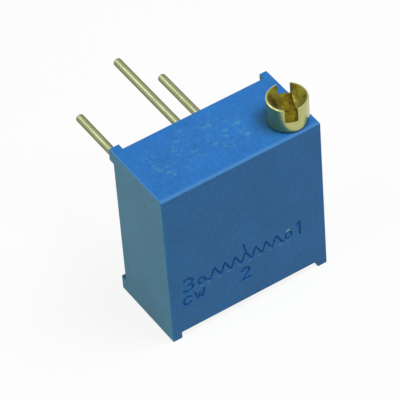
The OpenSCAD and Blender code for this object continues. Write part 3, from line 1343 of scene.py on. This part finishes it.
@dataclass
class Slide:
    """The carriage with its wiper.

    Attributes:
        plastic: The carriage's finish.
        plastic_edge: The rounding of its edges.
        alloy: The wiper's finish.
        alloy_edge: The rounding of its edges.
    """

    plastic: Finish = Moulded("natural_moulding", "carriage_plastic", (0.66, 0.6, 0.46), 0.45)
    plastic_edge: float = 0.03
    alloy: Finish = Metal(
        "contact_sheet", "contact_alloy", (0.75, 0.62, 0.4), 0.2, Marks.ROLLED, (0.5, 0.36, 0.2)
    )
    alloy_edge: float = 0.01

    def build(self) -> None:
        """Makes both pieces."""
        dress_copy("carriage", "slide_block", "carriage", self.plastic, self.plastic_edge)
        dress_copy("wiper_spring", "wiper_contact", "carriage", self.alloy, self.alloy_edge)


@dataclass
class Element:
    """The ceramic plate with its printed films.

    Attributes:
        ceramic: The plate's finish.
        carbon: The resistive film's finish.
        silver: The finish of the printed conductors.
        plate_edge: The rounding of the plate's edges.
        film_edge: The rounding of the films' edges.
    """

    ceramic: Finish = Moulded("white_ceramic", "ceramic", (0.8, 0.79, 0.74), 0.55, cloud=0.03, grain=0.05)
    carbon: Finish = Moulded(
        "dark_film", "resistive_film", (0.035, 0.035, 0.04), 0.5, cloud=0.2, grain=0.04, depth=0.003
    )
    silver: Finish = Metal(
        "silver_film", "conductor_film", (0.72, 0.7, 0.66), 0.42, Marks.MOLTEN, (0.45, 0.42, 0.36), pitch=0.06
    )
    plate_edge: float = 0.03
    film_edge: float = 0.008

    def build(self) -> None:
        """Makes the plate and the films."""
        dress_copy("element_plate", "ceramic_plate", "housing", self.ceramic, self.plate_edge)
        dress_copy("resistance_track", "resistive_print", "housing", self.carbon, self.film_edge)
        print_material = [self.silver.material()]
        for node in ("collector_track", "end_pad_1", "end_pad_3"):
            dress_copy(node, f"print_{node}", "housing", self.silver, self.film_edge, print_material)


@dataclass
class Terminals:
    """The three pins with their solder.

    Attributes:
        places: The pins' axes, as x and z.
        radius: The radius of a pin.
        collar: The radius of its head and shoulder.
        head: Where the head starts, on Y.
        film: The face of the films.
        plate_back: The back of the plate.
        shoulder: Where the shoulder ends.
        tip: Where the pin ends.
        soft: The width of the chamfers.
        cut: The rounding of the cut end.
        fillet: The size of the solder ring.
        plate: The pins' finish, kept dark with a darker rim tint that paints shade along their edges.
        solder: The solder's finish.
    """

    places: Sequence[Pair] = ((0.0, 0.0), (-2.54, 2.54), (-5.08, 0.0))
    radius: float = 0.23
    collar: float = 0.41
    head: float = -1.845
    film: float = -1.685
    plate_back: float = -1.01
    shoulder: float = -0.34
    tip: float = 6.6
    soft: float = 0.04
    cut: float = 0.1
    fillet: float = 0.14
    # The dark plating colour and the darker rim tint paint shade along the pins' edges, where they are seen
    # at a flat angle.
    plate: Finish = Metal(
        "plated_wire",
        "gold_plate",
        (0.315, 0.335, 0.19),
        0.33,
        Marks.DRAWN,
        (0.25, 0.25, 0.12),
        pitch=0.07,
        depth=0.0008,
        rim=(0.1, 0.1, 0.05),
    )
    solder: Finish = Metal(
        "bright_solder", "solder", (0.62, 0.63, 0.65), 0.3, Marks.MOLTEN, (0.4, 0.4, 0.42), pitch=0.2
    )

    def outline(self) -> Outline:
        """A pin's outline, with its cut end rounded over.

        Returns:
            Points of radius and height.
        """
        r, c, soft, cut = self.radius, self.collar, self.soft, self.cut
        turns = [math.radians(a) for a in (0, 22.5, 45, 67.5, 90)]
        cut_end = [(r - cut * (1 - math.cos(a)), self.tip - cut * 0.8 * (1 - math.sin(a))) for a in turns]
        return (
            (0, self.head),
            (c - soft * 2, self.head),
            (c - soft * 0.6, self.head + soft * 0.6),
            (c, self.head + soft * 2),
            (c, self.film),
            (r, self.film),
            (r, self.plate_back),
            (c, self.plate_back),
            (c, self.shoulder - soft),
            (c - soft, self.shoulder),
            (r, self.shoulder),
            *cut_end,
            (0, self.tip),
        )

    def solder_outline(self) -> Outline:
        """The hollow-faced outline of a solder ring.

        Returns:
            Points of radius and height.
        """
        r, size, y = self.collar, self.fillet, self.film
        turns = [math.radians(a) for a in range(15, 90, 15)]
        curve = [(r + size * (1 - math.sin(a)), y - size * (1 - math.cos(a))) for a in turns]
        return ((r, y), (r + size, y), *curve, (r, y - size))

    def build(self) -> None:
        """Makes the pins and their solder."""
        plate, solder = [self.plate.material()], [self.solder.material()]
        along = Vector((0, 1, 0))
        for number, (x, z) in enumerate(self.places, 1):
            centre = Vector((x, 0, z))
            pin = Sculpt()
            pin.spin(self.outline(), centre, along, 48)
            pin.piece(f"pin_{number}", "housing", self.plate, [f"terminal_{number}"], plate)
            ring = Sculpt()
            ring.spin(self.solder_outline(), centre, along, 48, ring=True)
            ring.piece(f"solder_ring_{number}", "housing", self.solder, [f"solder_joint_{number}"], solder)


# Studio


@dataclass
class PhotographCamera:
    """The camera at the photograph's place.

    Attributes:
        place: Where it stands.
        azimuth: Its direction round Z, in degrees.
        elevation: Its height over the horizon, in degrees.
        roll: Its turn about its own axis, in degrees.
        lens: Its focal length.
        sensor: The width of its sensor.
        near: The nearest that it sees, in metres.
        far: The furthest.
    """

    place: Triple = (-66.54, -111.1, 126.13)
    azimuth: float = -30.12
    elevation: float = 45.06
    roll: float = 4.69
    lens: float = 317.03
    sensor: float = 36
    near: float = 0.001
    far: float = 10

    def build(self) -> None:
        """Makes the scene's camera."""
        a, e, roll = (math.radians(v) for v in (self.azimuth, self.elevation, self.roll))
        back = Vector((math.sin(a) * math.cos(e), -math.cos(a) * math.cos(e), math.sin(e)))
        level = (-back).cross(Vector((0, 0, 1))).normalized()
        under = (-back).cross(level)
        right = level * math.cos(roll) + under * math.sin(roll)
        up = level * math.sin(roll) - under * math.cos(roll)
        data = bpy.data.cameras.new("camera")
        data.lens, data.sensor_width = self.lens, self.sensor
        data.clip_start, data.clip_end = self.near, self.far
        camera = bpy.data.objects.new("camera", data)
        turn = Matrix((right, up, back)).transposed().to_4x4()
        camera.matrix_world = Matrix.Translation(Vector(self.place) * MM) @ turn
        bpy.context.scene.collection.objects.link(camera)
        bpy.context.scene.camera = camera


@dataclass(frozen=True)
class Lamp:
    """A soft lamp that points at the object.

    Attributes:
        name: Its name.
        direction: Where it stands, as seen from the object.
        level: How bright it makes a white face that looks straight at it.
        colour: Its tint.
        distance: How far off it stands.
        size: Its width.
        shine: True if glossy faces show it.
        light: True if it lights dull ones.
    """

    name: str
    direction: Triple
    level: float
    colour: Colour = (1, 1, 1)
    distance: float = 120
    size: float = 70
    shine: bool = True
    light: bool = True

    def build(self, aim: Vector) -> None:
        """Makes the lamp.

        Args:
            aim: The point that it looks at.
        """
        way = Vector(self.direction).normalized()
        data = bpy.data.lights.new(self.name, "AREA")
        data.shape, data.size, data.color = "DISK", self.size * MM, self.colour
        # A disk of this power lights a white face that looks straight at it to the level.
        data.energy = self.level * math.pi**2 * (self.distance * MM) ** 2
        lamp = bpy.data.objects.new(self.name, data)
        lamp.visible_glossy, lamp.visible_diffuse = self.shine, self.light
        turn = way.to_track_quat("Z", "Y").to_matrix().to_4x4()
        lamp.matrix_world = Matrix.Translation(aim + way * self.distance * MM) @ turn
        bpy.context.scene.collection.objects.link(lamp)


@dataclass
class Studio:
    """The floor, the world and the lamps.

    Attributes:
        floor_z: The height of the floor.
        floor_size: Its width.
        floor_tint: How much light it gives back to the object.
        paper: Its own colour where the camera sees it lit.
        floor_lit: The share of the lit floor in what the camera sees.
        mirror_lit: The same in what a glossy face shows, so that it shows the object's shadow.
        ambient: The level of the light from all round.
        aim: The point that the lamps look at.
        lamps: The lamps.
    """

    floor_z: float = -5.97
    floor_size: float = 900
    floor_tint: Colour = (0.5, 0.54, 0.41)
    paper: Colour = (0.9, 0.9, 0.9)
    floor_lit: float = 0.12
    mirror_lit: float = 0.25
    ambient: float = 0.15
    aim: Triple = (-2.3, -1.5, 0)
    lamps: Sequence[Lamp] = (
        Lamp("key", (0.32, -0.255, 0.91), 0.835, shine=False),
        Lamp("window", (-0.5, 0.12, 0.77), 0.13, (1.0, 1.0, 0.9), size=46),
        Lamp("strip", (-0.36, 0.61, 0.71), 0.19, size=58, light=False),
        Lamp("fill", (-0.93, -0.15, 0.2), 0.4, (0.25, 1.0, 0.12), size=90, shine=False),
    )

    @staticmethod
    def ray(tree: ShaderTree, kind: str) -> Signal:
        """1 for the rays of a kind."""
        return tree.node("ShaderNodeLightPath", output=f"Is {kind} Ray")

    def seen(self, tree: ShaderTree) -> Signal:
        """1 for the rays that show the background, 0 for those that light the object."""
        rays = [self.ray(tree, kind) for kind in ("Camera", "Glossy", "Transmission")]
        return tree.math("MINIMUM", rays[0] + rays[1] + rays[2], 1.0)

    def floor(self) -> None:
        """Makes the floor."""
        material = bpy.data.materials.new("pale_floor")
        tree = ShaderTree(material, "ShaderNodeOutputMaterial")
        lit = tree.node("ShaderNodeBsdfDiffuse", {}, {"Color": self.floor_tint})
        paper = tree.node("ShaderNodeBsdfDiffuse", {}, {"Color": self.paper})
        white = tree.node("ShaderNodeEmission", {}, {"Color": (1, 1, 1), "Strength": 1.0})
        bare = 1 - self.floor_lit - self.ray(tree, "Glossy") * (self.mirror_lit - self.floor_lit)
        shown = tree.node("ShaderNodeMixShader", {}, {0: bare, 1: paper, 2: white})
        tree.surface(tree.node("ShaderNodeMixShader", {}, {0: self.seen(tree), 1: lit, 2: shown}))
        shape = bmesh.new()
        place = Matrix.Translation((0, 0, self.floor_z * MM))
        bmesh.ops.create_grid(shape, x_segments=1, y_segments=1, size=self.floor_size * MM / 2, matrix=place)
        mesh = bpy.data.meshes.new("floor")
        shape.to_mesh(mesh)
        shape.free()
        mesh.materials.append(material)
        floor = bpy.data.objects.new("floor", mesh)
        bpy.context.scene.collection.objects.link(floor)

    def world(self) -> None:
        """Makes the light from all round."""
        world = bpy.data.worlds.new("studio")
        tree = ShaderTree(world, "ShaderNodeOutputWorld")
        seen = self.seen(tree)
        strength = self.ambient + seen * (1 - self.ambient)
        tree.surface(tree.node("ShaderNodeBackground", {}, {"Color": (1, 1, 1), "Strength": strength}))
        bpy.context.scene.world = world

    def build(self) -> None:
        """Makes the studio."""
        self.floor()
        self.world()
        for lamp in self.lamps:
            lamp.build(Vector(self.aim) * MM)
        bpy.context.scene.view_settings.view_transform = "Standard"


def main() -> None:
    """Builds the pieces in order, then the camera and the studio."""
    logging.basicConfig(level=logging.INFO, format="%(message)s")
    terminals = Terminals()
    Housing().build()
    Potting().build(terminals.places)
    Adjuster().build()
    Slide().build()
    Element().build()
    terminals.build()
    PhotographCamera().build()
    Studio().build()


if __name__ == "__main__":
    main()
